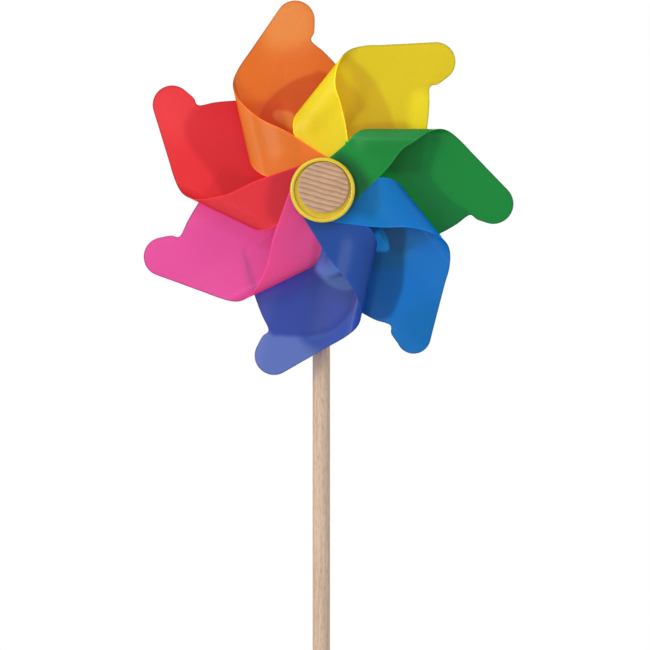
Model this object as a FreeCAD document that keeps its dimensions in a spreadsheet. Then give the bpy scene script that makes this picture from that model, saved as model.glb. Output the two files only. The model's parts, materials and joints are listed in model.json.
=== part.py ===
import FreeCAD, Part
import math
import os

# A seven-blade pinwheel on a round wooden stick.
# Frame: origin at the middle of the stick's foot, +Z up the stick. The wheel turns about an axle along Y and
# faces -Y. Distances along the axle are "stations", measured forward (towards -Y) from the stick's centre line.
# A blade's own frame has its origin on the axle: X along the blade, Y towards its fold, depth forward.

Vector = FreeCAD.Vector

DIMENSIONS = {
    # stick
    "stick_length": 500.0,
    "stick_radius": 6.0,
    "stick_edge_round": 1.2,
    "axle_height": 486.0,
    # axle bolt, its nut and washers
    "bolt_radius": 1.5,
    "bolt_head_radius": 2.85,
    "bolt_head_height": 1.65,
    "bolt_head_round": 0.9,
    "bolt_fit_gap": 0.05,
    "bolt_tail": 10.0,
    "washer_radius": 4.0,
    "washer_thickness": 0.5,
    "nut_across_flats": 5.5,
    "nut_height": 2.4,
    "nut_dome_radius": 2.6,
    # bead between stick and wheel
    "bead_radius": 5.0,
    "bead_front": 16.0,
    "bead_round": 1.5,
    # hub
    "end_play": 0.1,
    "bush_bore_gap": 0.05,
    "bush_radius": 2.5,
    "bush_length": 6.0,
    "bush_flange_radius": 4.0,
    "bush_flange_thickness": 0.8,
    "snout_radius": 5.0,
    "barrel_radius": 8.0,
    "barrel_length": 18.0,
    "flange_radius": 22.5,
    "flange_thickness": 2.0,
    "flange_round": 1.2,
    "cap_radius": 22.0,
    "cap_base_thickness": 1.8,
    "cap_height": 7.6,
    "cap_rim_round": 1.3,
    "cap_well_radius": 14.0,
    "dish_radius": 19.3,
    "dish_floor": 5.2,
    "disc_radius": 17.1,
    "disc_aside": 0.6,
    "disc_above": 1.8,
    "disc_thickness": 3.6,
    "disc_edge_round": 1.2,
    # blades
    "blade_count": 7,
    "film_thickness": 0.30,
    "film_pitch": 0.34,
    "film_hole_radius": 5.2,
    "arm_half_width": 12.0,
    "sweep_radius": 30.0,
    "sweep_angle": 8.0,
    "lobe_radius": 13.3,
    "tab_radius": 17.2,
}

# Blades anticlockwise as seen from the front, starting with the one that points along +X: colour, place in
# the rear stack, place in the front stack (0 lies furthest back in each) and distance from axle to fold.
# The film is springy, so the folds don't all settle at the same distance.
BLADES = [
    ("green", 6, 6, 41.6),
    ("yellow", 4, 0, 46.0),
    ("orange", 2, 1, 43.4),
    ("red", 0, 2, 43.8),
    ("pink", 1, 3, 44.0),
    ("purple", 3, 4, 45.0),
    ("blue", 5, 5, 43.8),
]

doc = FreeCAD.newDocument("Pinwheel")
sheet = doc.addObject("Spreadsheet::Sheet", "Sizes")
for row, (alias, value) in enumerate(DIMENSIONS.items(), start=1):
    sheet.set(f"A{row}", alias)
    sheet.set(f"B{row}", str(value))
    sheet.setAlias(f"B{row}", alias)
doc.recompute()


def size(alias):
    return float(sheet.get(alias))


def bind(feature, **expressions):
    """Bind properties to sheet expressions; a double underscore stands for a dot."""
    for name, expression in expressions.items():
        feature.setExpression(name.replace("__", "."), expression)


# ---------------------------------------------------------------- turned pieces

ALONG_AXLE = FreeCAD.Rotation(Vector(1, 0, 0), 90)
# How far cutting tools reach past the faces they cut, and how close counts as the same place
OVERCUT = 1.0
NEAR = 0.01


def across_axle(name, radius, start, length):
    """A cylinder on the axle line, from a start station forward over a length."""
    cylinder = doc.addObject("Part::Cylinder", name)
    cylinder.Placement = FreeCAD.Placement(Vector(), ALONG_AXLE)
    bind(cylinder, Radius=radius, Height=length, Placement__Base__y=f"-({start})",
         Placement__Base__z="Sizes.axle_height")
    return cylinder


def hole_through(name, radius, start, length):
    """A cutting cylinder that reaches past both ends of the stretch it drills."""
    return across_axle(name, radius, f"{start} - {OVERCUT}", f"{length} + 2 * {OVERCUT}")


def station(expression):
    """The value of a station expression, in millimetres."""
    probe = doc.addObject("App::FeaturePython", "Probe")
    probe.addProperty("App::PropertyFloat", "Value")
    probe.setExpression("Value", expression)
    doc.recompute()
    value = probe.Value
    doc.removeObject(probe.Name)
    return value


def cut(label, base, tool):
    result = doc.addObject("Part::Cut", label)
    result.Base = base
    result.Tool = tool
    result.Label = label
    return result


def fuse(label, *shapes):
    result = doc.addObject("Part::MultiFuse", label)
    result.Shapes = list(shapes)
    result.Refine = True
    result.Label = label
    return result


def circle_edges(feature, wanted):
    """Numbers of a feature's circular edges that the test accepts, by centre and radius."""
    doc.recompute()
    found = []
    for number, edge in enumerate(feature.Shape.Edges, start=1):
        curve = edge.Curve
        if isinstance(curve, Part.Circle) and wanted(curve.Center, curve.Radius):
            found.append(number)
    return found


def rounded(label, base, wanted, radius):
    result = doc.addObject("Part::Fillet", label)
    result.Base = base
    result.Edges = [(number, radius, radius) for number in circle_edges(base, wanted)]
    result.Label = label
    return result


# Stations along the axle, as sheet expressions
STICK_FRONT = "Sizes.stick_radius"
STICK_BACK = "-Sizes.stick_radius"
REAR_WASHER = "Sizes.bead_front"
WHEEL_BACK = f"{REAR_WASHER} + Sizes.washer_thickness + Sizes.end_play"
FLANGE_BACK = f"{WHEEL_BACK} + Sizes.bush_flange_thickness"
REAR_STACK = f"{FLANGE_BACK} + Sizes.flange_thickness"
FILM_STACK = "Sizes.blade_count * Sizes.film_pitch"
BARREL_BACK = f"{REAR_STACK} + {FILM_STACK}"
BARREL_FRONT = f"{BARREL_BACK} + Sizes.barrel_length"
CAP_BACK = f"{BARREL_FRONT} + {FILM_STACK}"
CAP_FLOOR = f"{CAP_BACK} + Sizes.cap_base_thickness"
FRONT_WASHER = f"{CAP_FLOOR} + Sizes.bush_flange_thickness + Sizes.end_play"
BOLT_HEAD = f"{FRONT_WASHER} + Sizes.washer_thickness"
DISC_BACK = f"{CAP_BACK} + Sizes.dish_floor"


def make_stick():
    dowel = doc.addObject("Part::Cylinder", "dowel")
    bind(dowel, Radius="Sizes.stick_radius", Height="Sizes.stick_length")
    eased = rounded("eased_dowel", dowel, lambda centre, radius: True, size("stick_edge_round"))
    hole = hole_through("bolt_hole", "Sizes.bolt_radius + Sizes.bolt_fit_gap", STICK_BACK,
                        "2 * Sizes.stick_radius")
    return cut("stick", eased, hole)


def make_axle_bolt():
    shank = across_axle("shank", "Sizes.bolt_radius", "-Sizes.bolt_tail", f"Sizes.bolt_tail + {BOLT_HEAD}")
    head = across_axle("head", "Sizes.bolt_head_radius", BOLT_HEAD, "Sizes.bolt_head_height")
    front = -station(BOLT_HEAD) - size("bolt_head_height")
    button = rounded("button_head", head, lambda centre, radius: abs(centre.y - front) < NEAR,
                     size("bolt_head_round"))
    return fuse("axle_bolt", shank, button)


def washer(label, start):
    plate = across_axle(f"{label}_plate", "Sizes.washer_radius", start, "Sizes.washer_thickness")
    hole = hole_through(f"{label}_hole", "Sizes.bolt_radius + Sizes.bolt_fit_gap", start,
                        "Sizes.washer_thickness")
    return cut(label, plate, hole)


def make_dome_nut():
    seat = f"{STICK_BACK} - Sizes.washer_thickness"
    hexagon = doc.addObject("Part::Prism", "nut_hexagon")
    hexagon.Polygon = 6
    hexagon.Placement = FreeCAD.Placement(Vector(), ALONG_AXLE)
    dome_centre = f"-({seat} - Sizes.nut_height)"
    bind(hexagon, Circumradius="Sizes.nut_across_flats / sqrt(3)", Height="Sizes.nut_height",
         Placement__Base__y=dome_centre, Placement__Base__z="Sizes.axle_height")
    dome = doc.addObject("Part::Sphere", "nut_dome")
    bind(dome, Radius="Sizes.nut_dome_radius", Placement__Base__y=dome_centre,
         Placement__Base__z="Sizes.axle_height")
    room = across_axle("dome_room", "Sizes.nut_across_flats", f"{seat} - Sizes.nut_height",
                       "Sizes.nut_across_flats")
    half_dome = cut("half_dome", dome, room)
    solid = fuse("nut_solid", hexagon, half_dome)
    thread = across_axle("nut_thread", "Sizes.bolt_radius", "-Sizes.bolt_tail", "Sizes.bolt_tail")
    return cut("dome_nut", solid, thread)


def make_spacer_bead():
    bead = across_axle("bead_turning", "Sizes.bead_radius", "0", "Sizes.bead_front")
    front = -station("Sizes.bead_front")
    rims = rounded("bead_rounded", bead, lambda centre, radius: abs(centre.y - front) < NEAR,
                   size("bead_round"))
    saddle = doc.addObject("Part::Cylinder", "bead_saddle")
    bind(saddle, Radius="Sizes.stick_radius", Height="Sizes.stick_length")
    seated = cut("bead_seated", rims, saddle)
    hole = hole_through("bead_hole", "Sizes.bolt_radius + Sizes.bolt_fit_gap", "0", "Sizes.bead_front")
    return cut("spacer_bead", seated, hole)


def bush(label, flange_start, sleeve_start):
    flange = across_axle(f"{label}_flange", "Sizes.bush_flange_radius", flange_start,
                         "Sizes.bush_flange_thickness")
    sleeve = across_axle(f"{label}_sleeve", "Sizes.bush_radius", sleeve_start, "Sizes.bush_length")
    bore = across_axle(f"{label}_bore", "Sizes.bolt_radius + Sizes.bush_bore_gap",
                       f"{flange_start} - 2 * Sizes.bush_length", "4 * Sizes.bush_length")
    return cut(label, fuse(f"{label}_turning", flange, sleeve), bore)


def make_hub_barrel():
    snouts = across_axle("snouts", "Sizes.snout_radius", FLANGE_BACK, f"{CAP_FLOOR} - ({FLANGE_BACK})")
    barrel = across_axle("barrel", "Sizes.barrel_radius", BARREL_BACK, "Sizes.barrel_length")
    bore = hole_through("barrel_bore", "Sizes.bush_radius", FLANGE_BACK, f"{CAP_FLOOR} - ({FLANGE_BACK})")
    return cut("hub_barrel", fuse("barrel_turning", snouts, barrel), bore)


def make_rear_flange():
    plate = across_axle("flange_plate", "Sizes.flange_radius", FLANGE_BACK, "Sizes.flange_thickness")
    back = -station(FLANGE_BACK)
    eased = rounded("flange_eased", plate, lambda centre, radius: abs(centre.y - back) < NEAR,
                    size("flange_round"))
    hole = hole_through("flange_hole", "Sizes.snout_radius", FLANGE_BACK, "Sizes.flange_thickness")
    return cut("rear_flange", eased, hole)


def make_front_cap():
    """A cup with a rounded rim and a shallow dish, on whose floor the wooden disc is glued over a well."""
    block = across_axle("cap_block", "Sizes.cap_radius", CAP_BACK, "Sizes.cap_height")
    lip = -station(CAP_BACK) - size("cap_height")
    eased = rounded("cap_eased", block, lambda centre, radius: abs(centre.y - lip) < NEAR,
                    size("cap_rim_round"))
    well = across_axle("cap_well", "Sizes.cap_well_radius", CAP_FLOOR, "Sizes.cap_height")
    dish = across_axle("cap_dish", "Sizes.dish_radius", DISC_BACK, "Sizes.cap_height")
    hole = hole_through("cap_hole", "Sizes.snout_radius", CAP_BACK, "Sizes.cap_base_thickness")
    return cut("front_cap", eased, fuse("cap_hollows", well, dish, hole))


def make_wood_disc():
    """The wooden disc, glued in by hand and so a little off the axle's line."""
    disc = across_axle("disc_turning", "Sizes.disc_radius", DISC_BACK, "Sizes.disc_thickness")
    bind(disc, Placement__Base__x="Sizes.disc_aside", Placement__Base__z="Sizes.axle_height + Sizes.disc_above")
    front = -station(DISC_BACK) - size("disc_thickness")
    return rounded("wood_disc", disc, lambda centre, radius: abs(centre.y - front) < NEAR,
                   size("disc_edge_round"))


# ---------------------------------------------------------------- blades

# Outline of a blade's back, in its own X and Y. The edge beside the neighbouring blade runs out from the arm,
# rounds a corner, dips at the waist and swells into the lobe; the long outer edge is straight.
SHADED_CORNER = (52.0, -43.5)
SHADED_SIDE = [(66.0, -37.0), (81.4, -28.4), (92.0, -21.8)]
WAIST = (101.0, -15.9)
LOBE_CENTRE = (117.3, -8.2)
LOBE_SHOULDER = (106.2, -19.1)
LOBE_START_ANGLE = 255.0
LOBE_END_ANGLE = 43.5
BACK_AT_CURL = (32.0, 92.0)
CROTCH = [(36.0, 27.5), (40.0, 18.5), (40.0, 14.2)]
CROTCH_FOOT = 37.0
# The shaded edge leaves the neighbour's arm this far before its corner, and keeps this clear of the arm
CORNER_LEAD = 3.0
ARM_CLEARANCE = 1.0
# Outline of its front tab
TAB_AT_CURL = (20.0, 62.0)
TAB_FREE_EDGE = [(54.0, 27.4), (43.8, 14.4), (29.4, 0.0)]
TAB_DIRECTION = 220.0
TAB_CENTRE_OFFSET = 3.6
TAB_INNER_CORNER = [(16.2, 31.2), (18.6, 33.2)]
# How far the strips reach past the outlines that trim them, and how far those outlines reach into the curl
OVERREACH = 40.0
SEAM = 2.0


def polar(centre, radius, degrees):
    angle = math.radians(degrees)
    return (centre[0] + radius * math.cos(angle), centre[1] + radius * math.sin(angle))


class Run:
    """One straight or circular run of a film's section, in (Y, depth)."""

    def __init__(self, start, heading, length, radius=None):
        self.start, self.heading, self.length, self.radius = start, heading, length, radius
        if radius is None:
            self.end_heading = heading
            self.end = (start[0] + length * math.cos(heading), start[1] + length * math.sin(heading))
        else:
            self.centre = (start[0] - radius * math.sin(heading), start[1] + radius * math.cos(heading))
            self.end_heading = heading + length / radius
            self.end = self.on_arc(self.end_heading, 0.0)

    def on_arc(self, heading, offset):
        reach = self.radius - offset
        return (self.centre[0] + reach * math.sin(heading), self.centre[1] - reach * math.cos(heading))

    def edge(self, offset, at=0.0):
        """The run shifted sideways by an offset, as an edge."""
        def place(point):
            return Vector(at, -point[1], point[0])

        def shifted(point, heading):
            return place((point[0] - offset * math.sin(heading), point[1] + offset * math.cos(heading)))

        if self.radius is None:
            ends = (shifted(self.start, self.heading), shifted(self.end, self.end_heading))
            return Part.LineSegment(*ends).toShape()
        middle = 0.5 * (self.heading + self.end_heading)
        points = [place(self.on_arc(angle, offset)) for angle in (self.heading, middle, self.end_heading)]
        return Part.Arc(*points).toShape()


def strip(runs, left, right):
    """Film of the given section, as wide as from left to right along X."""
    half = 0.5 * size("film_thickness")
    near = [run.edge(-half, left) for run in runs]
    far = [run.edge(half, left) for run in runs]
    caps = [Part.LineSegment(near[0].Vertexes[0].Point, far[0].Vertexes[0].Point).toShape(),
            Part.LineSegment(near[-1].Vertexes[-1].Point, far[-1].Vertexes[-1].Point).toShape()]
    section = Part.Wire(Part.__sortEdges__(near + far + caps))
    return Part.Face(section).extrude(Vector(right - left, 0, 0))


def blade_section(stack_gap, fold_distance):
    """Runs of the back, the curl and the tab; stack_gap is the depth between a blade's two hub levels."""
    sweep = math.radians(size("sweep_angle"))
    bend = size("sweep_radius")
    flat = size("arm_half_width")
    # the curl starts where its radius brings the fold to its distance and the tab to its level
    slope = math.tan(sweep)
    bend_end = flat + bend * math.sin(sweep)
    bend_rise = bend * (1 - math.cos(sweep))
    gain = (1 - math.sin(sweep)) / (1 + math.cos(sweep))
    level = stack_gap - bend_rise + slope * bend_end
    curl_start = (fold_distance - gain * level) / (1 - gain * slope)
    curl_radius = (level - slope * curl_start) / (1 + math.cos(sweep))

    reach = OVERREACH / math.cos(sweep)
    first = (-bend_end - reach * math.cos(sweep), -bend_rise - reach * math.sin(sweep))
    back = [Run(first, sweep, reach)]
    back.append(Run(back[-1].end, sweep, bend * sweep, -bend))
    back.append(Run(back[-1].end, 0.0, 2 * flat))
    back.append(Run(back[-1].end, 0.0, bend * sweep, bend))
    back.append(Run(back[-1].end, sweep, (curl_start - bend_end) / math.cos(sweep)))
    curl = Run(back[-1].end, sweep, curl_radius * (math.pi - sweep), curl_radius)
    tab = Run(curl.end, math.pi, curl.end[0] + OVERREACH)
    return back, curl, tab


def outline_prism(edges, front, back):
    """Room between two depths inside a closed outline drawn at depth 0."""
    wire = Part.Wire(Part.__sortEdges__(edges))
    wire.translate(Vector(0, back, 0))
    return Part.Face(wire).extrude(Vector(0, -(front + back), 0))


def flat_point(point):
    return Vector(point[0], 0, point[1])


def lines(*points):
    corners = [flat_point(point) for point in points]
    return [Part.LineSegment(a, b).toShape() for a, b in zip(corners, corners[1:])]


def arc(start, middle, end):
    return Part.Arc(flat_point(start), flat_point(middle), flat_point(end)).toShape()


def curve(*points):
    spline = Part.BSplineCurve()
    spline.interpolate([flat_point(point) for point in points])
    return spline.toShape()


def back_outline(curl_y):
    half = size("arm_half_width")
    pitch = 2 * math.pi / size("blade_count")
    clear = half + ARM_CLEARANCE
    arm_end = ((clear + half * math.cos(pitch)) / math.sin(pitch), -half)
    lobe_start = polar(LOBE_CENTRE, size("lobe_radius"), LOBE_START_ANGLE)
    lobe_middle = polar(LOBE_CENTRE, size("lobe_radius"), (LOBE_START_ANGLE + LOBE_END_ANGLE - 360) / 2)
    lobe_end = polar(LOBE_CENTRE, size("lobe_radius"), LOBE_END_ANGLE)
    inner, outer = BACK_AT_CURL
    corner_x = SHADED_CORNER[0] - CORNER_LEAD
    corner_in = (corner_x, clear / math.cos(pitch) - corner_x * math.tan(pitch))
    return (lines((0, -half), arm_end, corner_in)
            + [curve(corner_in, SHADED_CORNER, *SHADED_SIDE, WAIST), curve(WAIST, LOBE_SHOULDER, lobe_start)]
            + [arc(lobe_start, lobe_middle, lobe_end)]
            + lines(lobe_end, (outer, curl_y), (outer, curl_y + SEAM), (inner, curl_y + SEAM), (inner, curl_y))
            + [curve((inner, curl_y), *CROTCH, (CROTCH_FOOT, half))]
            + lines((CROTCH_FOOT, half), (0, half))
            + [arc((0, half), (-half, 0), (0, -half))])


def tab_outline(curl_y):
    radius = size("tab_radius")
    free_side = TAB_DIRECTION + 90
    centre = polar((0, 0), TAB_CENTRE_OFFSET, free_side)
    free_end = polar(centre, radius, free_side)
    tip = polar(centre, radius, TAB_DIRECTION)
    inner_start = polar(centre, radius, free_side + 180)
    inner, outer = TAB_AT_CURL
    return (lines((inner, curl_y), (inner, curl_y + SEAM), (outer, curl_y + SEAM), (outer, curl_y))
            + [curve((outer, curl_y), *TAB_FREE_EDGE, free_end)]
            + [arc(free_end, tip, inner_start)]
            + lines(inner_start, TAB_INNER_CORNER[0])
            + [curve(*TAB_INNER_CORNER, (inner, curl_y))])


def curl_prism(curl, rows=12):
    """Room over the curl whose sides run evenly from the back's edges to the tab's edges."""
    def side(back_x, tab_x):
        points = []
        for row in range(rows + 1):
            share = row / rows
            heading = curl.heading + share * (math.pi - curl.heading)
            depth = curl.on_arc(heading, 0.0)[1]
            points.append(Vector(back_x + share * (tab_x - back_x), -depth, 0))
        return points

    inner = side(BACK_AT_CURL[0], TAB_AT_CURL[0])
    outer = side(BACK_AT_CURL[1], TAB_AT_CURL[1])
    edges = []
    for points in (inner, outer):
        spline = Part.BSplineCurve()
        spline.interpolate(points)
        edges.append(spline.toShape())
    margin = Vector(0, size("film_thickness"), 0)
    for a, b, away in ((inner[0], outer[0], margin), (inner[-1], outer[-1], -margin)):
        edges += [Part.LineSegment(a, a + away).toShape(), Part.LineSegment(a + away, b + away).toShape(),
                  Part.LineSegment(b + away, b).toShape()]
    face = Part.Face(Part.Wire(Part.__sortEdges__(edges)))
    return face.extrude(Vector(0, 0, 2 * OVERREACH))


def make_blade(index, colour, rear_place, front_place, fold_distance):
    pitch = size("film_pitch")
    stack_gap = (size("blade_count") + front_place - rear_place) * pitch + size("barrel_length")
    back_runs, curl_run, tab_run = blade_section(stack_gap, fold_distance)
    curl_y = curl_run.start[0]
    left, right = -OVERREACH, LOBE_CENTRE[0] + 2 * size("lobe_radius")

    back = strip(back_runs, left, right).common(outline_prism(back_outline(curl_y), OVERREACH, OVERREACH))
    curl = strip([curl_run], left, right).common(curl_prism(curl_run))
    tab_room = outline_prism(tab_outline(curl_run.end[0]), OVERREACH, OVERREACH)
    tab = strip([tab_run], left, right).common(tab_room)
    film = back.fuse([curl, tab]).removeSplitter()
    hole = Part.makeCylinder(size("film_hole_radius"), 2 * OVERREACH, Vector(0, OVERREACH, 0), Vector(0, -1, 0))
    film = film.cut(hole)

    blade = doc.addObject("Part::Feature", f"blade_{colour}")
    blade.Shape = film.Solids[0] if len(film.Solids) == 1 else film
    blade.Label = f"blade_{colour}"
    turn = FreeCAD.Rotation(Vector(0, -1, 0), index * 360.0 / size("blade_count"))
    rear_level = station(REAR_STACK) + (rear_place + 0.5) * pitch
    blade.Placement = FreeCAD.Placement(Vector(0, -rear_level, size("axle_height")), turn)
    return blade


# ---------------------------------------------------------------- assembly

nodes = [
    make_stick(),
    make_axle_bolt(),
    make_dome_nut(),
    washer("nut_washer", f"{STICK_BACK} - Sizes.washer_thickness"),
    make_spacer_bead(),
    washer("rear_thrust_washer", REAR_WASHER),
    washer("front_thrust_washer", FRONT_WASHER),
    bush("rear_bush", WHEEL_BACK, FLANGE_BACK),
    bush("front_bush", CAP_FLOOR, f"{CAP_FLOOR} - Sizes.bush_length"),
    make_hub_barrel(),
    make_rear_flange(),
    make_front_cap(),
    make_wood_disc(),
]
for number, blade_facts in enumerate(BLADES):
    nodes.append(make_blade(number, *blade_facts))
doc.recompute()

for feature in doc.Objects:
    if "Invalid" in feature.State or "Error" in feature.State:
        raise RuntimeError(f"{feature.Label} failed: {feature.State}")
for node in nodes:
    if node.Shape.isNull() or not node.Shape.isValid():
        raise RuntimeError(f"{node.Label} has no valid shape")

os.makedirs("parts", exist_ok=True)
for node in nodes:
    node.Shape.exportStep(f"parts/{node.Label}.step")
    print(f"{node.Label}: {len(node.Shape.Solids)} solid, {node.Shape.Volume:.1f} mm3")
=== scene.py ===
import json
import math

import bpy
import numpy as np
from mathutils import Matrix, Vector
from mathutils.geometry import delaunay_2d_cdt


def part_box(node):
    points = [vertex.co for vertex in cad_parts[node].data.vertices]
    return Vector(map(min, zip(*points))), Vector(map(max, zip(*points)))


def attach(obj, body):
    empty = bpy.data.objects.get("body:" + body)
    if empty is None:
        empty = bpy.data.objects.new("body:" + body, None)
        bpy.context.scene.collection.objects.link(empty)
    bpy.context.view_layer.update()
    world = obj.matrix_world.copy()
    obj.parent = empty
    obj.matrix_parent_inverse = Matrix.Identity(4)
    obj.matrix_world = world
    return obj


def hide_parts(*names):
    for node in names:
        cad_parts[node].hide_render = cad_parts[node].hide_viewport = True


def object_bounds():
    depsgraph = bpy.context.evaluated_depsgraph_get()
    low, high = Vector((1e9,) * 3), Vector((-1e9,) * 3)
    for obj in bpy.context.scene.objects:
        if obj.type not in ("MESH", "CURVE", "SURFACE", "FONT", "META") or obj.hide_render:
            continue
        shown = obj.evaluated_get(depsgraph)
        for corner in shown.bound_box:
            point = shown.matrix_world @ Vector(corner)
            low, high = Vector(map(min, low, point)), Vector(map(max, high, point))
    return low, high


# A seven-blade pinwheel: film blades, a hub cap with a wooden disc, and a round stick, in the CAD frame.
# Lengths inside the shape code are millimetres; MM turns them into metres.

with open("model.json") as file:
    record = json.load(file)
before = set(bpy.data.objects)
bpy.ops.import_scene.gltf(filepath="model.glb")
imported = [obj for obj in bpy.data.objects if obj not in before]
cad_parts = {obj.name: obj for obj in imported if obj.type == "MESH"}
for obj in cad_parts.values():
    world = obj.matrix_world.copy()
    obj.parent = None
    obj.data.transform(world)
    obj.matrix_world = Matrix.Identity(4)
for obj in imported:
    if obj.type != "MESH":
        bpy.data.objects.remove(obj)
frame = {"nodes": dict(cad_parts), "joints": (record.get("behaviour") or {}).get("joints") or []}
cad_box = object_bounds()

MM = 0.001
AXLE = Vector(frame["joints"][0]["pos_m"]) / MM
SCENE = bpy.context.scene
# Spacing of points along curves and edges, and of points round arcs in degrees
SPACING = 0.9
ARC_STEP = 4.0
# The least squared length that is divided by
TINY = 1e-12
# Edges that bend more than this many degrees stay sharp
SHARP_FILM = 50.0
SHARP_TURNED = 35.0

# ---------------------------------------------------------------- helpers for curves and meshes


def smoothstep(low, high, value):
    """0 below low, 1 above high and a smooth ramp between them; with low above high it falls instead."""
    share = np.clip((value - low) / (high - low), 0.0, 1.0)
    return share * share * (3.0 - 2.0 * share)


def polar(centre, radius, degrees):
    """The point at this angle and distance from a centre."""
    angle = math.radians(degrees)
    return (centre[0] + radius * math.cos(angle), centre[1] + radius * math.sin(angle))


def arc(centre, radius, start, end, step=ARC_STEP):
    """Points along a circular arc, angles in degrees."""
    count = max(2, int(abs(end - start) / step))
    return [polar(centre, radius, start + (end - start) * i / count) for i in range(count + 1)]


def smooth(points, spacing=SPACING, closed=False):
    """A Catmull-Rom curve through the points, sampled at about the given spacing."""
    if closed:
        knots = [points[-1], *points, points[0], points[1]]
    else:
        knots = [points[0], *points, points[-1]]
    sampled = []
    for a, b, c, d in zip(knots, knots[1:], knots[2:], knots[3:]):
        count = max(1, round(math.dist(b, c) / spacing))
        for i in range(count):
            t = i / count
            sampled.append(tuple(
                0.5 * (2 * q + (r - p) * t + (2 * p - 5 * q + 4 * r - s) * t * t
                       + (3 * q - p - 3 * r + s) * t ** 3)
                for p, q, r, s in zip(a, b, c, d)))
    if not closed:
        sampled.append(tuple(points[-1]))
    return sampled


def straight(start, end, spacing=SPACING):
    """Evenly spaced points from start to end."""
    count = max(1, round(math.dist(start, end) / spacing))
    return [tuple(a + (b - a) * i / count for a, b in zip(start, end)) for i in range(count + 1)]


def inside(polygon, points):
    """True for each point that lies inside a closed polygon."""
    x, y = points[:, 0], points[:, 1]
    found = np.zeros(len(points), bool)
    for (ax, ay), (bx, by) in zip(polygon, np.roll(polygon, -1, axis=0)):
        crosses = (ay > y) != (by > y)
        slope = (bx - ax) / (by - ay) if by != ay else 0.0
        found ^= crosses & (x < ax + (y - ay) * slope)
    return found


def distance_to(loop, points):
    """Distance from each point to the nearest point of a closed, densely sampled loop."""
    starts, ends = loop, np.roll(loop, -1, axis=0)
    along = ends - starts
    squared = np.maximum((along ** 2).sum(1), TINY)
    nearest = np.full(len(points), np.inf)
    for start, way, size in zip(starts, along, squared):
        share = np.clip(((points - start) @ way) / size, 0.0, 1.0)
        gap = np.linalg.norm(points - start - share[:, None] * way, axis=1)
        nearest = np.minimum(nearest, gap)
    return nearest


def link(name, mesh):
    """A new object in the scene."""
    thing = bpy.data.objects.new(name, mesh)
    SCENE.collection.objects.link(thing)
    return thing


def shade(mesh, sharp_degrees):
    """Smooth shading, except across sharper edges."""
    for face in mesh.polygons:
        face.use_smooth = True
    mesh.set_sharp_from_angle(angle=math.radians(sharp_degrees))


# ---------------------------------------------------------------- materials

# Sockets of the colour mix node, and of the shader mix node
FACTOR, COLOUR_A, COLOUR_B, MIXED_COLOUR = 0, 6, 7, 2
SHARE, SHADER_A, SHADER_B = 0, 1, 2


class Shader:
    """A node material under construction."""

    def __init__(self, name):
        self.material = bpy.data.materials.new(name)
        self.material.use_nodes = True
        self.nodes = self.material.node_tree.nodes
        self.links = self.material.node_tree.links
        self.nodes.clear()

    def add(self, kind, sockets=None, **settings):
        """A node with its settings, its sockets fed by other sockets or set to values."""
        node = self.nodes.new(kind)
        for name, value in settings.items():
            setattr(node, name, value)
        for name, value in (sockets or {}).items():
            if isinstance(value, bpy.types.NodeSocket):
                self.links.new(value, node.inputs[name])
            else:
                node.inputs[name].default_value = value
        return node

    def math(self, operation, a, b=0.0):
        return self.add("ShaderNodeMath", {0: a, 1: b}, operation=operation).outputs[0]

    def place(self, scale=(1, 1, 1), rotation=(0, 0, 0)):
        """Object coordinates in metres, turned and stretched."""
        coordinates = self.add("ShaderNodeTexCoord").outputs["Object"]
        sockets = {"Vector": coordinates, "Scale": scale, "Rotation": rotation}
        return self.add("ShaderNodeMapping", sockets).outputs[0]

    def noise(self, where, scale, detail=3.0, roughness=0.5):
        sockets = {"Vector": where, "Scale": scale, "Detail": detail, "Roughness": roughness}
        return self.add("ShaderNodeTexNoise", sockets).outputs[0]

    def ramp(self, value, *stops):
        """Colours blended along a value; each stop is (position, linear colour)."""
        node = self.add("ShaderNodeValToRGB", {"Fac": value})
        elements = node.color_ramp.elements
        while len(elements) < len(stops):
            elements.new(0.5)
        for element, (position, colour) in zip(elements, stops):
            element.position = position
            element.color = (*colour, 1.0)
        return node.outputs[0]

    def spread(self, value, low, high):
        """A 0..1 value stretched to low..high."""
        return self.add("ShaderNodeMapRange", {"Value": value, "To Min": low, "To Max": high}).outputs[0]

    def mix(self, share, a, b, blend="MIX"):
        """Colour a with a share of colour b."""
        sockets = {COLOUR_A: a, COLOUR_B: b, FACTOR: share}
        node = self.add("ShaderNodeMix", sockets, data_type="RGBA", blend_type=blend)
        return node.outputs[MIXED_COLOUR]

    def multiply(self, a, b):
        return self.mix(1.0, a, b, "MULTIPLY")

    def blend_shaders(self, share, a, b):
        """Shader a with a share of shader b."""
        sockets = {SHARE: share, SHADER_A: a.outputs[0], SHADER_B: b.outputs[0]}
        return self.add("ShaderNodeMixShader", sockets)

    def bump(self, height, strength, distance):
        node = self.add("ShaderNodeBump", {"Height": height, "Strength": strength, "Distance": distance})
        return node.outputs[0]

    def finish(self, surface):
        self.add("ShaderNodeOutputMaterial", {"Surface": surface})
        return self.material


# Share of each film surface that is clear to the eye, and to a lamp
SEEN_THROUGH = 0.22
LIT_THROUGH = 0.70
# Share of the rest that glows with light from behind
FILM_GLOW = 0.45
FILM_ROUGHNESS = 0.32
FILM_GLOSS = 0.42


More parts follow.
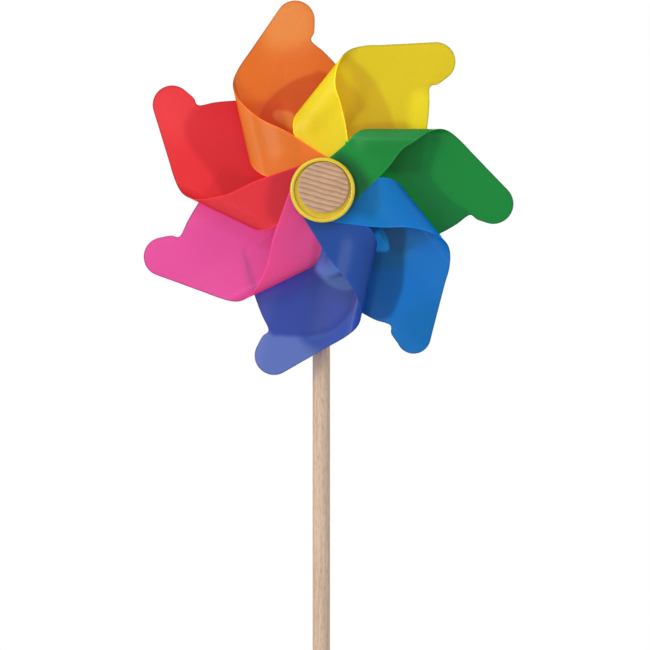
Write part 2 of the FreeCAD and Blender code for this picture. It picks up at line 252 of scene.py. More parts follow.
def film_material(colour, body, tint):
    """Frosted translucent film: body is its own colour, tint the colour of light that comes through."""
    s = Shader(f"film_{colour}")
    grain = s.noise(s.place(), scale=1500.0, detail=2.0)
    cloud = s.noise(s.place(), scale=28.0, detail=3.0)
    level = s.math("ADD", s.spread(grain, low=-0.10, high=0.10), s.spread(cloud, low=0.95, high=1.05))
    # painted light and shade per vertex, multiplied into both the film's own and its see-through colour
    painted_light = s.add("ShaderNodeAttribute", attribute_name="painted_light").outputs["Color"]
    own = s.multiply(s.multiply((*body, 1.0), painted_light), level)
    through = s.multiply(s.multiply((*tint, 1.0), painted_light), level)
    normal = s.bump(grain, strength=0.12, distance=0.0002)
    surface = s.add("ShaderNodeBsdfPrincipled", {
        "Base Color": own, "Roughness": FILM_ROUGHNESS, "Specular IOR Level": FILM_GLOSS,
        "Normal": normal})
    glow = s.add("ShaderNodeBsdfTranslucent", {"Color": own, "Normal": normal})
    solid = s.blend_shaders(FILM_GLOW, surface, glow)
    clear = s.add("ShaderNodeBsdfTransparent", {"Color": through})
    # more light gets through the frosted film than can be seen through it
    shadow = s.add("ShaderNodeLightPath").outputs["Is Shadow Ray"]
    share = s.spread(shadow, low=SEEN_THROUGH, high=LIT_THROUGH)
    return s.finish(s.blend_shaders(share, solid, clear).outputs[0])


def hub_material():
    """Glossy yellow moulded plastic, a little uneven and slightly translucent."""
    s = Shader("hub_plastic")
    cloud = s.noise(s.place(), scale=60.0, detail=3.0)
    fine = s.noise(s.place(), scale=900.0, detail=2.0)
    colour = s.ramp(cloud, (0.3, (0.60, 0.42, 0.012)), (0.7, (0.69, 0.52, 0.022)))
    rough = s.spread(fine, low=0.16, high=0.26)
    surface = s.add("ShaderNodeBsdfPrincipled", {
        "Base Color": colour, "Roughness": rough, "Specular IOR Level": 0.5, "Coat Weight": 0.25,
        "Coat Roughness": 0.08, "Subsurface Weight": 0.08, "Subsurface Radius": (0.002, 0.0015, 0.0003),
        "Normal": s.bump(cloud, strength=0.15, distance=0.0004)})
    return s.finish(surface.outputs[0])


def beech_material():
    """Straight-grained beech along Z, with its short dark flecks."""
    s = Shader("beech")
    streaks = s.noise(s.place((1.0, 1.0, 0.03)), scale=650.0, detail=5.0, roughness=0.65)
    broad = s.noise(s.place((1.0, 1.0, 0.08)), scale=90.0, detail=3.0)
    flecks = s.noise(s.place((1.0, 1.0, 0.10)), scale=2300.0, detail=2.0, roughness=0.45)
    base = s.ramp(streaks, (0.25, (0.45, 0.325, 0.23)), (0.75, (0.64, 0.495, 0.375)))
    shift = s.ramp(broad, (0.3, (0.93, 0.92, 0.90)), (0.7, (1.05, 1.04, 1.03)))
    marks = s.ramp(flecks, (0.30, (0.76, 0.67, 0.58)), (0.48, (1.0, 1.0, 1.0)))
    colour = s.multiply(s.multiply(base, shift), marks)
    height = s.math("ADD", streaks, s.math("MULTIPLY", flecks, 0.6))
    surface = s.add("ShaderNodeBsdfPrincipled", {
        "Base Color": colour, "Roughness": s.spread(streaks, low=0.52, high=0.68),
        "Specular IOR Level": 0.3, "Normal": s.bump(height, strength=0.30, distance=0.0003)})
    return s.finish(surface.outputs[0])


def cover_wood_material():
    """The disc's grain: wavy growth bands that run nearly level and dip to one side, with a painted
    highlight on the edge.
    """
    s = Shader("cover_wood")
    dip = (0.0, math.radians(-15.0), 0.0)
    wave = {"Vector": s.place(rotation=dip), "Scale": 92.0, "Distortion": 2.2, "Detail": 3.0,
            "Detail Scale": 0.9, "Detail Roughness": 0.55}
    rings = s.add("ShaderNodeTexWave", wave, bands_direction="Z", wave_profile="SAW").outputs["Fac"]
    fibre = s.noise(s.place((0.12, 1.0, 1.0), dip), scale=2600.0, detail=4.0, roughness=0.6)
    cloud = s.noise(s.place(), scale=120.0, detail=2.0)
    bands = s.ramp(rings, (0.0, (0.52, 0.345, 0.23)), (0.40, (0.49, 0.31, 0.20)),
                   (0.72, (0.39, 0.22, 0.135)), (0.88, (0.33, 0.175, 0.10)), (1.0, (0.50, 0.325, 0.215)))
    fine = s.ramp(fibre, (0.25, (0.84, 0.80, 0.76)), (0.7, (1.06, 1.06, 1.05)))
    soft = s.ramp(cloud, (0.3, (0.94, 0.93, 0.91)), (0.7, (1.06, 1.05, 1.05)))
    # painted highlight: the rounded edge is drawn paler where the surface turns away from the front (-Y)
    painted_highlight, painted_highlight_share = (0.62, 0.49, 0.39, 1.0), 0.7
    normal = s.add("ShaderNodeTexCoord").outputs["Normal"]
    facing = s.add("ShaderNodeSeparateXYZ", {"Vector": normal}).outputs["Y"]
    edge = s.math("MULTIPLY", s.math("ADD", facing, 1.0), painted_highlight_share)
    colour = s.mix(edge, s.multiply(s.multiply(bands, fine), soft), painted_highlight)
    height = s.math("ADD", s.math("MULTIPLY", rings, -0.5), fibre)
    surface = s.add("ShaderNodeBsdfPrincipled", {
        "Base Color": colour, "Roughness": 0.6, "Specular IOR Level": 0.28,
        "Normal": s.bump(height, strength=0.22, distance=0.0003)})
    return s.finish(surface.outputs[0])


def metal_material(name, dark, light, roughness):
    """Turned metal: fine marks round the axle and slightly cloudy colour."""
    s = Shader(name)
    uneven = 0.08
    turning = s.noise(s.place((1.0, 6.0, 1.0)), scale=900.0, detail=3.0)
    cloud = s.noise(s.place(), scale=200.0, detail=2.0)
    surface = s.add("ShaderNodeBsdfPrincipled", {
        "Base Color": s.ramp(cloud, (0.3, dark), (0.7, light)), "Metallic": 1.0,
        "Roughness": s.spread(turning, low=roughness - uneven, high=roughness + uneven),
        "Normal": s.bump(turning, strength=0.10, distance=0.0001)})
    return s.finish(surface.outputs[0])


def floor_material():
    """Plain pale matt floor."""
    s = Shader("floor")
    cloud = s.noise(s.place(), scale=3.0, detail=2.0)
    colour = s.ramp(cloud, (0.3, (0.86, 0.86, 0.86)), (0.7, (0.90, 0.90, 0.90)))
    surface = s.add("ShaderNodeBsdfPrincipled", {
        "Base Color": colour, "Roughness": 0.8, "Specular IOR Level": 0.1})
    return s.finish(surface.outputs[0])


# ---------------------------------------------------------------- film blades

# In a blade's own frame X runs along the blade, Y towards its fold, and depth forward from the hub end
# of its back, all in millimetres.
FILM_THICKNESS = 0.30
# The back's two sides are swept this far, one forward and one back, with soft bends at this Y
SWEEP = math.radians(8.0)
BEND = 14.0
BEND_SOFTNESS = 5.0
HUB_HOLE = 5.2
# The back's edge, from the hub arm round the shaded side to the lobe; the lobe's arc starts at an angle in
# degrees
ARM_HALF_WIDTH = 12.0
ARM_END = (25.3, -ARM_HALF_WIDTH)
CORNER_IN = (49.0, -40.6)
SHADED_SIDE = [(52.0, -43.5), (66.0, -37.0), (81.4, -28.8), (92.0, -22.4)]
WAIST = (101.0, -15.9)
LOBE_CENTRE = (117.3, -8.2)
LOBE_RADIUS = 13.3
LOBE_SHOULDER = (106.2, -18.9)
LOBE_START = 255.0
# Ends of the fold: places along X with the heading of the film there, in degrees
FOLD_OUTER = [(94.5, 8.0), (80.0, 92.0), (62.0, 180.0)]
FOLD_INNER = [(17.4, 180.0), (20.0, 157.0), (26.0, 118.0), (31.5, 90.0), (35.0, 45.0), (36.0, 8.0)]
CROTCH = [(38.0, 26.5), (40.0, 18.5), (40.0, 14.2), (37.0, ARM_HALF_WIDTH)]
# The tab's edge in plan: its free side, its round tip with the arc's two angles, and its inner corner
TAB_FREE_EDGE = [(54.0, 27.4), (43.8, 14.4), (29.4, 0.0)]
TAB_TIP_CENTRE = (2.3, -2.8)
TAB_RADIUS = 17.2
TAB_TIP_ARC = (310.0, 130.0)
TAB_INNER_CORNER = [(15.6, 31.0), (15.9, 33.0)]
# The tab's belly, a bulge forward between the cap and the fold, grows over this stretch of X
BELLY_FROM = (19.0, 32.0)
# A shift of the lobe moves the back's edge too, growing over this stretch of X
SHIFT_OVER = (62.0, 102.0)
# Mesh inside a film's outline: spacing along X and s, and the part of GRID_S kept free along the edges
GRID_X = 1.4
GRID_S = 1.0
GRID_MARGIN = 0.6
# Points nearer than this merge, and the triangulation keeps what lies inside the outline
MERGE_WITHIN = 1e-5
TRIANGLES_INSIDE = 1
# The outer straight side and the hub holes need fewer points; a hole is measured with a little spare
SIDE_SPACING = 12.0
HOLE_STEP = 10.0
HOLE_SPARE = 0.1
# Rounds after which the place where the fold starts has settled
SETTLE_ROUNDS = 30
# Cut edges get a painted highlight on the tab and are drawn darker on the back, over this width
RIM_WIDTH = 0.7
RIM_PAINTED_HIGHLIGHT = 1.25
RIM_ON_BACK = 0.72
# Spacing of points round a zone of painted light or shade
ZONE_SPACING = 1.5


def rise(y):
    """Depth of a blade's back: a flat arm between one side swept forward and one swept back."""
    ahead = 0.5 * (y - BEND + math.hypot(y - BEND, BEND_SOFTNESS))
    behind = 0.5 * (-y - BEND + math.hypot(-y - BEND, BEND_SOFTNESS))
    return math.tan(SWEEP) * (ahead - behind)


class Section:
    """A film's section from the back round the fold to the tab; s runs along it from the centre line."""

    def __init__(self, gap, fold, belly):
        self.gap, self.belly = gap, belly
        self.start = fold
        for _ in range(SETTLE_ROUNDS):
            self.radius = (gap - rise(self.start)) / (1 + math.cos(SWEEP))
            self.start = fold - self.radius * (1 - math.sin(SWEEP))
        self.end = self.start + self.radius * (math.pi - SWEEP)
        self.middle = 0.5 * (self.start + self.end)
        self.tab_y = self.start - self.radius * math.sin(SWEEP)

    def turned_to(self, x, degrees):
        """The point of the fold at x where the film's heading has turned this far, in (X, s)."""
        return (x, self.start + self.radius * (math.radians(degrees) - SWEEP))

    def of_tab(self, point):
        """A point of the tab's plan in (X, s)."""
        return (point[0], self.end + self.tab_y - point[1])

    def place(self, x, s):
        """X, Y and depth of the film's middle layer at (x, s)."""
        if s <= self.start:
            return x, s, rise(s)
        if s < self.end:
            heading = SWEEP + (s - self.start) / self.radius
            y = self.tab_y + self.radius * math.sin(heading)
            depth = rise(self.start) + self.radius * (math.cos(SWEEP) - math.cos(heading))
        else:
            y = self.tab_y - (s - self.end)
            depth = self.gap
        if s > self.middle:
            low, high, height = self.belly
            share = min(max((y - low) / (high - low), 0.0), 1.0)
            depth += height * math.sin(math.pi * share) ** 2 * float(smoothstep(*BELLY_FROM, x))
        return x, y, depth


def lobe_shifted(points, shift):
    """Points of the back moved by a shift that grows from the blade's middle to its lobe."""
    moved = []
    for x, y in points:
        share = float(smoothstep(*SHIFT_OVER, x))
        moved.append((x + shift[0] * share, y + shift[1] * share))
    return moved


def film_outline(section, shift, lobe_scale):
    """The cut film's edge in (X, s), as a closed loop of points."""
    half = ARM_HALF_WIDTH
    inner_end = [section.turned_to(*point) for point in FOLD_INNER]
    outer_end = [section.turned_to(*point) for point in FOLD_OUTER]
    # the lobe ends where a straight line to the fold's outer end touches it
    radius = LOBE_RADIUS * lobe_scale
    centre = (LOBE_CENTRE[0] + shift[0], LOBE_CENTRE[1] + shift[1])
    leave = math.atan2(outer_end[0][1] - centre[1], outer_end[0][0] - centre[0])
    leave -= math.acos(radius / math.dist(centre, outer_end[0]))
    lobe = arc(centre, radius, LOBE_START, 360.0 + math.degrees(leave))
    shaded = lobe_shifted([CORNER_IN, *SHADED_SIDE, WAIST, LOBE_SHOULDER], shift) + [lobe[0]]
    tab_edge = [section.of_tab(point) for point in TAB_FREE_EDGE]
    tip = [section.of_tab(point) for point in arc(TAB_TIP_CENTRE, TAB_RADIUS, *TAB_TIP_ARC)]
    outer_line = straight(lobe[-1], outer_end[0], SIDE_SPACING)
    outer_side = smooth([*outer_line, *outer_end[1:], *tab_edge, tip[0]])
    corner = [section.of_tab(point) for point in TAB_INNER_CORNER]
    inner_side = smooth([*corner, *inner_end, *CROTCH])
    points = (straight((0.0, -half), ARM_END)
              + straight(ARM_END, CORNER_IN)[1:]
              + smooth(shaded)[1:]
              + lobe[1:]
              + outer_side[1:]
              + tip[1:]
              + straight(tip[-1], corner[0])[1:]
              + inner_side[1:]
              + straight(CROTCH[-1], (0.0, half))[1:]
              + arc((0.0, 0.0), half, 90.0, 270.0)[1:-1])
    return np.array(points)


def film_sheet(section, outline):
    """A fine triangle mesh over the outline in (X, s), with the two hub holes left open."""
    holes = [np.array(arc(centre, HUB_HOLE, 0.0, 360.0, HOLE_STEP)[:-1])
             for centre in ((0.0, 0.0), section.of_tab((0.0, 0.0)))]
    loops = [outline, *holes]
    low, high = outline.min(0), outline.max(0)
    columns = np.arange(low[0], high[0], GRID_X)
    rows = np.arange(low[1], high[1], GRID_S)
    grid = np.array([(x, s) for x in columns for s in rows])
    margin = GRID_MARGIN * GRID_S
    keep = inside(outline, grid) & (distance_to(outline, grid) > margin)
    for hole in holes:
        keep &= ~inside(hole, grid) & (distance_to(hole, grid) > margin)
    points = [Vector(point) for loop in loops for point in loop] + [Vector(point) for point in grid[keep]]
    edges = []
    first = 0
    for loop in loops:
        edges += [(first + i, first + (i + 1) % len(loop)) for i in range(len(loop))]
        first += len(loop)
    verts, _, faces, *_ = delaunay_2d_cdt(points, edges, [], TRIANGLES_INSIDE, MERGE_WITHIN)
    flat = np.array(verts)
    centres = np.array([flat[list(face)].mean(0) for face in faces])
    wanted = inside(outline, centres)
    for hole in holes:
        wanted &= ~inside(hole, centres)
    return flat, [face for face, good in zip(faces, wanted) if good]


def painted_light_of(flat, plan, section, outline, tab, painted_zones):
    """Linear colour factors per vertex, painted light and shade: the tab's lit level, soft zones, the cut
    edge.
    """
    on_tab = flat[:, 1] > section.middle
    # painted light: the tab is drawn lighter or darker than the back, as light falls on it
    painted_light = np.where(on_tab[:, None], np.array(tab), 1.0)
    for part, softness, factor, points in painted_zones:
        loop = np.array(smooth(points, ZONE_SPACING, closed=True))
        gap = distance_to(loop, plan)
        depth = np.where(inside(loop, plan), gap, -gap)
        share = smoothstep(-softness, softness, depth)
        share = share * (on_tab if part == "tab" else ~on_tab)
        painted_light *= 1.0 + share[:, None] * (np.array(factor) - 1.0)
    # painted highlight along the tab's cut edges; the back's cut edges are drawn darker
    rim = smoothstep(RIM_WIDTH, 0.0, distance_to(outline, flat))
    line = np.where(on_tab, RIM_PAINTED_HIGHLIGHT, RIM_ON_BACK)
    painted_light *= 1.0 + rim[:, None] * (line[:, None] - 1.0)
    return painted_light


def measured(node, turn, belly):
    """The section of a CAD blade, and the depth of its back's middle layer at the hub."""
    coords = np.array([vertex.co for vertex in node.data.vertices]) / MM
    local = (coords[:, [0, 2]] - (AXLE.x, AXLE.z)) @ turn.T
    half = 0.5 * FILM_THICKNESS
    hub = np.linalg.norm(local, axis=1) < HUB_HOLE + HOLE_SPARE
    rear = (-coords[hub, 1]).min() + half
    front = (-coords[hub, 1]).max() - half
    return Section(front - rear, local[:, 1].max() - half, belly), rear


def thickened(name, mesh):
    """A closed solid object made from a film's middle layer."""
    blade = link(name, mesh)
    thicken = blade.modifiers.new("thickness", "SOLIDIFY")
    thicken.thickness = FILM_THICKNESS * MM
    thicken.offset = 0.0
    bpy.context.view_layer.update()
    evaluated = blade.evaluated_get(bpy.context.evaluated_depsgraph_get())
    solid = bpy.data.meshes.new_from_object(evaluated)
    blade.modifiers.clear()
    blade.data = solid
    solid.name = name
    shade(solid, SHARP_FILM)
    return blade


def make_blade(index, colour, facts):
    """A closed film solid in the place of its CAD node."""
    angle = 2 * math.pi * index / len(BLADES)
    turn = np.array([[math.cos(angle), math.sin(angle)], [-math.sin(angle), math.cos(angle)]])
    section, rear = measured(frame["nodes"][f"blade_{colour}"], turn, facts["belly"])

    outline = film_outline(section, facts["shift"], facts["lobe"])
    flat, faces = film_sheet(section, outline)
    placed = np.array([section.place(x, s) for x, s in flat])
    across = placed[:, :2] @ turn
    world = np.column_stack([AXLE.x + across[:, 0], -rear - placed[:, 2], AXLE.z + across[:, 1]])

    mesh = bpy.data.meshes.new(f"film_{colour}")
    mesh.from_pydata([tuple(point) for point in world * MM], [], faces)
    painted_light = painted_light_of(flat, placed[:, :2], section, outline, facts["tab"], facts["painted_zones"])
    attribute = mesh.attributes.new("painted_light", "FLOAT_COLOR", "POINT")
    attribute.data.foreach_set("color", np.column_stack([painted_light, np.ones(len(painted_light))]).ravel())
    blade = thickened(f"film_{colour}", mesh)
    blade.data.materials.append(film_material(colour, facts["body"], facts["tint"]))
    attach(blade, "wheel")
    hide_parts(f"blade_{colour}")


NO_SHIFT = (0.0, 0.0)
# The lobe's end, drawn paler with painted sheen on orange and red and darker with painted shade on blue,
# in the blade's own X and Y
LOBE_LIGHT_PATCH = [(101, -16), (108, -20), (120, -24), (134, -12), (132, 6), (120, 14), (104, 14), (100, 0)]

# Anticlockwise from the blade along +X. body and tint are linear colours, tab is the tab's colour factor
# of painted light (the tab drawn lighter or darker than the back), shift moves the lobe, lobe scales the
# lobe's radius, and belly is the stretch of Y and the height of the tab's bulge. Each zone of painted
# shade, shadow, see-through tint or highlight is a part of the film, a softness, a colour factor and an
# outline in X and Y.
BLADES = {
    "green": {
        "body": (0.016, 0.3, 0.068),
        "tint": (0.05, 0.62, 0.24),
        "tab": (1.2, 1.25, 1.15),
        "shift": (0.0, -1.0),
        "lobe": 1.03,
        "belly": (22.0, 43.0, 1.4),
        "painted_zones": [
            # painted shade: the shadow of the tab and fold on the back
            ("back", 1.6, (0.7, 0.81, 0.94),
             [(76, 44), (81, 39), (80, 30), (76, 20), (75, 9), (81, 1), (90, -8), (101, -18), (80, -34),
              (55, -45), (30, -20), (36, 20), (50, 40)]),
            # painted shade, a less red second step inside the first
            ("back", 4.0, (0.84, 1.08, 1.06),
             [(60, 30), (72, 34), (78, 28), (72, 20), (58, 20)]),
            # painted tint of light through the yellow sheet behind
            ("back", 3.5, (1.3, 1.25, 0.85),
             [(38, 16), (51, 10), (60, 2), (70, -11), (80, -25), (84, -40), (50, -45), (30, -10)]),
            # painted shadow of the hub cap on the tab
            ("tab", 4.0, (0.75, 0.62, 0.85),
             [(8, 24), (22, 20), (31, 8), (33, 0), (30, -12), (10, -10)]),
            # painted highlight band along the fold
            ("tab", 3.5, (3.0, 1.12, 1.6),
             [(22, 35), (60, 35), (66, 42), (22, 42)]),
        ],
    },
    "yellow": {
        "body": (0.73, 0.61, 0.026),
        "tint": (0.88, 0.8, 0.14),
        "tab": (1.2, 1.3, 1.35),
        "shift": (0.0, 2.0),
        "lobe": 1.0,
        "belly": (24.0, 46.0, 2.0),
        "painted_zones": [
            # painted shade: the shadow of the fold on the back
            ("back", 2.0, (0.93, 0.84, 0.92),
             [(81, 46), (83, 35), (82, 23), (78, 11), (73, 0), (66, -10), (62, -16), (45, -10), (35, 12),
              (40, 44), (60, 50)]),
            # painted shade: a thin contact shadow along the green blade's fold
            ("back", 2.0, (0.95, 0.86, 0.95),
             [(40, 17), (55, 4), (71, -14), (69, -20), (52, -2), (38, 10)]),
            # painted light that lifts shade where a layer lies behind
            ("back", 5.0, (1.12, 1.16, 1.3),
             [(70, -34), (82, -30), (93, -24), (97, -16), (92, -8), (80, -12), (72, -20)]),
            # painted light that lifts the shade under the fold
            ("back", 7.0, (1.16, 1.3, 1.1),
             [(76, 50), (73, 36), (66, 25), (56, 18), (44, 20), (38, 50)]),
        ],
    },
    "orange": {
        "body": (0.75, 0.23, 0.034),
        "tint": (0.93, 0.5, 0.18),
        "tab": (1.08, 1.33, 1.45),
        "shift": NO_SHIFT,
        "lobe": 1.0,
        "belly": (3.0, 33.0, 1.9),
        "painted_zones": [
            # painted sheen on the lobe
            ("back", 11.0, (1.03, 1.4, 2.5), LOBE_LIGHT_PATCH),
            # painted shade on the back
            ("back", 1.5, (0.97, 0.95, 1.1),
             [(101, -15), (100, -6), (98, 2), (92, 10), (84, 15), (75, 19), (64, 30), (45, 34), (30, 10),
              (40, -30), (56, -46), (80, -34)]),
            # painted shade, tinted by the red sheet behind
            ("back", 1.2, (0.88, 0.66, 0.62),
             [(78, -20), (79, -11), (78, -1), (75, 9), (70, 19), (62, 28), (45, 34), (30, 10), (40, -30),
              (60, -44)]),
            # painted light where light passes between the layers
            ("back", 4.0, (1.08, 1.0, 1.5),
             [(66, 12), (66, 24), (58, 32), (48, 30), (54, 20), (58, 10)]),
            # painted light, a small bright spot
            ("back", 1.0, (1.1, 1.9, 2.6),
             [(60, 19), (57, 9), (51, 6), (45, 9), (51, 17), (56, 21)]),
        ],
    },
    "red": {
        "body": (0.78, 0.054, 0.066),
        "tint": (0.93, 0.2, 0.24),
        "tab": (1.0, 1.1, 1.25),
        "shift": NO_SHIFT,
        "lobe": 1.0,
        "belly": (20.0, 41.0, 0.4),
        "painted_zones": [
            # painted sheen on the lobe
            ("back", 9.0, (1.0, 1.3, 1.25), LOBE_LIGHT_PATCH),
            # painted shade on the back
            ("back", 3.0, (0.9, 0.7, 0.8),
             [(101, -15), (104, -6), (102, 4), (90, 14), (70, 24), (50, 36), (30, 10), (40, -30),
              (56, -46), (80, -34)]),
            # painted shade on the tab next to the hub
            ("tab", 4.0, (0.88, 0.72, 0.85),
             [(20, -5), (34, 4), (30, 26), (15, 34), (10, 20)]),
        ],
    },
    "pink": {
        "body": (0.74, 0.118, 0.41),
        "tint": (0.92, 0.33, 0.62),
        "tab": (1.08, 0.95, 0.96),
        "shift": (0.0, 2.0),
        "lobe": 1.0,
        "belly": (20.0, 41.0, 0.3),
        "painted_zones": [
            # painted light that lifts the shade of the layer behind
            ("back", 1.6, (1.2, 1.1, 1.14),
             [(64, 14), (66, 24), (67.5, 38), (60, 46), (44, 44), (36, 24), (42, 14)]),
            # painted shade on the tab
            ("tab", 3.0, (0.84, 0.74, 0.8),
             [(12, 30), (16, 24), (30, 44), (24, 50), (12, 44)]),
        ],
    },
    "purple": {
        "body": (0.185, 0.262, 0.575),
        "tint": (0.22, 0.32, 0.7),
        "tab": (0.17, 0.5, 0.86),
        "shift": (0.0, 1.5),
        "lobe": 1.0,
        "belly": (18.0, 46.0, 1.8),
        "painted_zones": [
            # painted shade: the dark leaf on the back
            ("back", 1.8, (0.36, 0.45, 0.8),
             [(102, -14), (103, -5), (101, 6), (98, 17), (91.5, 28.5), (81, 36), (71, 40), (58, 42),
              (40, 32), (30, 0), (50, -46), (80, -34)]),
            # painted shade in a band along the fold
            ("back", 5.5, (0.24, 0.47, 0.86),
             [(101, 9), (97, 17.5), (89.5, 27.5), (79, 34.8), (69.5, 38.8), (58, 41), (58, 60), (92, 56),
              (100, 40), (108, 22)]),
            # painted light, paler and redder
            ("back", 3.0, (1.45, 1.02, 1.1),
             [(80, -30), (76, -12), (62, 8), (50, 16), (46, 4), (66, -20)]),
            # painted light: the bright lens near the hub
            ("back", 2.4, (3.0, 3.8, 1.75),
             [(36, 10), (46, 8), (54, 8), (57, 16), (50, 25), (44, 25)]),
            # painted light: a second, smaller lens
            ("back", 1.4, (1.9, 2.1, 1.25),
             [(58, 13), (62, 20), (63, 31), (59, 36), (54, 28), (57, 20)]),
        ],
    },
    "blue": {
        "body": (0.006, 0.23, 0.57),
        "tint": (0.04, 0.46, 0.82),
        "tab": (1.05, 1.3, 1.22),
        "shift": (0.0, -5.0),
        "lobe": 0.88,
        "belly": (18.0, 42.0, 0.8),
        "painted_zones": [
            # painted shade on the lobe
            ("back", 11.0, (1.0, 0.93, 0.9), LOBE_LIGHT_PATCH),
            # painted shadow of the purple blade's curl
            ("back", 1.6, (0.45, 0.62, 0.7),
             [(41, 16), (53, 30), (69, 17), (82, 6), (89, -2), (93, -9), (96, -20), (80, -36), (50, -46),
              (30, -10), (34, 10)]),
            # painted warmer light in the upper part of that shadow
            ("back", 4.0, (1.6, 0.95, 0.8),
             [(40, 16), (53, 30), (75, 12), (68, 0), (58, -10), (40, 4)]),
            # painted light: a lit triangle inside the shadow
            ("back", 0.9, (2.8, 2.3, 1.9),
             [(45, 13), (48, 16), (60, 11), (55, 3), (48, 7)]),
            # painted shadow of the hub cap on the tab
            ("tab", 4.0, (0.3, 0.78, 0.82),
             [(10, 34), (24, 30), (33, 22), (34, 12), (12, 6)]),
        ],
    },
}


# ---------------------------------------------------------------- turned pieces

# A profile point this near the axis is one vertex and not a ring
ON_AXIS = 1e-6


def turned(name, profile, axis=AXLE, segments=144):
    """A closed solid of revolution about an axis along Y; the profile is a loop of (radius, station)."""
    mesh = bpy.data.meshes.new(name)
    verts, rings = [], []
    for radius, station in profile:
        if radius < ON_AXIS:
            rings.append([len(verts)] * segments)
            verts.append((axis.x * MM, -station * MM, axis.z * MM))
            continue
        rings.append(list(range(len(verts), len(verts) + segments)))
        for i in range(segments):
            x, z = polar((axis.x, axis.z), radius, 360.0 * i / segments)
            verts.append((x * MM, -station * MM, z * MM))
    faces = []
    for a, b in zip(rings, rings[1:] + rings[:1]):
        for i in range(segments):
            j = (i + 1) % segments
            corners = [a[i], a[j], b[j], b[i]]
            unique = [corner for n, corner in enumerate(corners) if corner not in corners[:n]]
            if len(unique) > 2:
                faces.append(unique)
    mesh.from_pydata(verts, [], faces)
    mesh.validate()
    shade(mesh, SHARP_TURNED)
    return link(name, mesh)


def stations(node):
    """The rear and front station and the largest radius of a turned CAD node, in millimetres."""
    low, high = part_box(node)
    return -high.y / MM, -low.y / MM, 0.5 * (high.x - low.x) / MM


def make_cap(material):
    """The cup: a rounded rim round a shallow dish, with a well under the disc."""
    back, front, radius = stations("front_cap")
    floor, _, _ = stations("wood_disc")
    rim, lip, foot, corner = 1.5, 0.7, 0.6, 0.6
    bore, well, dish, base = 5.0, 14.0, 19.3, back + 1.8
    fine, coarse = 9.0, 15.0
    profile = [(bore, back), (radius - corner, back), (radius, back + corner)]
    profile += arc((radius - rim, front - rim), rim, 0.0, 90.0, fine)
    profile += arc((dish + lip, front - lip), lip, 90.0, 180.0, coarse)
    profile += arc((dish - foot, floor + foot), foot, 0.0, -90.0, coarse)
    profile += [(well, floor), (well, base), (bore, base)]
    cap = turned("hub_cap", profile)
    cap.data.materials.append(material)
    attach(cap, "wheel")
    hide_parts("front_cap")


def make_disc(material):
    """The wooden disc, a little off the axle's line as its CAD node is."""
    back, front, radius = stations("wood_disc")
    low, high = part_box("wood_disc")
    edge, step = 1.2, 10.0
    rings = (0.85, 0.7, 0.55, 0.4, 0.25, 0.1)
    profile = [(0.0, back), (radius, back)]
    profile += arc((radius - edge, front - edge), edge, 0.0, 90.0, step)
    profile += [(radius * share, front) for share in rings]
    profile += [(0.0, front)]
    disc = turned("cover_disc", profile, (low + high) / (2 * MM))
    disc.data.materials.append(material)
    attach(disc, "wheel")
    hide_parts("wood_disc")


# ---------------------------------------------------------------- scene


def dress(material, *nodes):
    """Gives CAD nodes their finished material."""
    for name in nodes:
        mesh = frame["nodes"][name].data
        mesh.materials.clear()
        mesh.materials.append(material)
        for face in mesh.polygons:
            face.material_index = 0


def make_floor():
    """A round floor just under the stick's foot."""
    radius, segments, level = 0.8, 96, -0.0002
    mesh = bpy.data.meshes.new("floor")
    angles = [2 * math.pi * i / segments for i in range(segments)]
    rim = [(radius * math.cos(angle), radius * math.sin(angle), level) for angle in angles]
    mesh.from_pydata(rim, [], [list(range(segments))])
    floor = link("floor", mesh)
    floor.data.materials.append(floor_material())


def area_light(name, place, target, size, power):
    """A soft rectangle of light, size (across, tall), aimed at a target."""
    data = bpy.data.lights.new(name, "AREA")
    data.shape = "RECTANGLE"
    data.size, data.size_y = size
    data.energy = power
    lamp = bpy.data.objects.new(name, data)
    lamp.location = place
    lamp.rotation_euler = (Vector(target) - Vector(place)).to_track_quat("-Z", "Y").to_euler()
    SCENE.collection.objects.link(lamp)


# Share of its white that the backdrop lights the object with
AMBIENT = 0.56
# Each lamp's place and size (across, tall) in metres, and its power in watts
LAMPS = {
    "key": ((-1.35, -1.13, 0.70), (0.35, 0.35), 8.5),
    "strip": ((-0.62, -1.55, 0.50), (0.20, 1.2), 7.0),
    "top": ((-0.40, -1.25, 1.50), (1.2, 0.25), 6.0),
    "fill": ((1.50, -0.55, 0.85), (0.8, 0.8), 3.5),
    "back": ((0.3, 1.2, 1.0), (0.8, 0.8), 7.0),
}


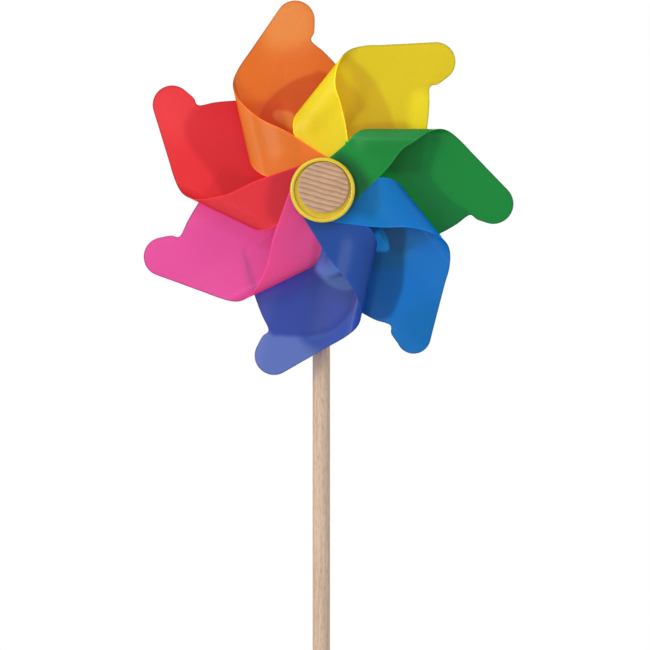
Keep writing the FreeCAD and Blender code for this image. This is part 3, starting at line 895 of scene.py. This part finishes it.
def make_lights():
    """A white backdrop that lights the object less than it shows, and lamps aimed at the hub."""
    world = bpy.data.worlds.new("studio")
    SCENE.world = world
    world.use_nodes = True
    background = world.node_tree.nodes["Background"]
    background.inputs["Color"].default_value = (1.0, 1.0, 1.0, 1.0)
    seen = world.node_tree.nodes.new("ShaderNodeLightPath").outputs["Is Camera Ray"]
    strength = world.node_tree.nodes.new("ShaderNodeMapRange")
    strength.inputs["To Min"].default_value = AMBIENT
    strength.inputs["To Max"].default_value = 1.0
    world.node_tree.links.new(seen, strength.inputs["Value"])
    world.node_tree.links.new(strength.outputs[0], background.inputs["Strength"])
    hub = (AXLE.x * MM, 0.0, AXLE.z * MM)
    for name, (place, size, power) in LAMPS.items():
        area_light(name, place, hub, size, power)


def make_camera():
    """Nearly straight on: a touch to the left of the axle and above the middle of the view."""
    distance, view_width, sensor = 2.5, 0.4446, 36.0
    middle_x, middle_z = 0.0022, 0.394
    centre = Vector((middle_x, 0.5 * (cad_box[0].y + cad_box[1].y), middle_z))
    aside, above = math.radians(-1.0), math.radians(1.5)
    data = bpy.data.cameras.new("camera")
    data.sensor_width = sensor
    data.lens = data.sensor_width * distance / view_width
    camera = bpy.data.objects.new("camera", data)
    level = Vector((math.sin(aside), -math.cos(aside), 0.0)) * math.cos(above)
    camera.location = centre + distance * (level + Vector((0.0, 0.0, math.sin(above))))
    camera.rotation_euler = (math.radians(90.0) - above, 0.0, aside)
    SCENE.collection.objects.link(camera)
    SCENE.camera = camera


beech = beech_material()
hub_plastic = hub_material()
steel = metal_material("steel", (0.50, 0.50, 0.52), (0.66, 0.66, 0.68), 0.32)
brass = metal_material("brass", (0.70, 0.48, 0.17), (0.82, 0.62, 0.27), 0.28)
dress(beech, "stick", "spacer_bead")
dress(steel, "axle_bolt", "dome_nut", "nut_washer", "rear_thrust_washer", "front_thrust_washer")
dress(brass, "rear_bush", "front_bush")
dress(hub_plastic, "hub_barrel", "rear_flange")
make_cap(hub_plastic)
make_disc(cover_wood_material())
for number, (name, facts) in enumerate(BLADES.items()):
    make_blade(number, name, facts)

make_floor()
make_lights()
make_camera()
SCENE.view_settings.view_transform = "Standard"
# light and sight pass through many film surfaces in a row
FILM_SURFACES = 24
SCENE.cycles.transparent_max_bounces = FILM_SURFACES
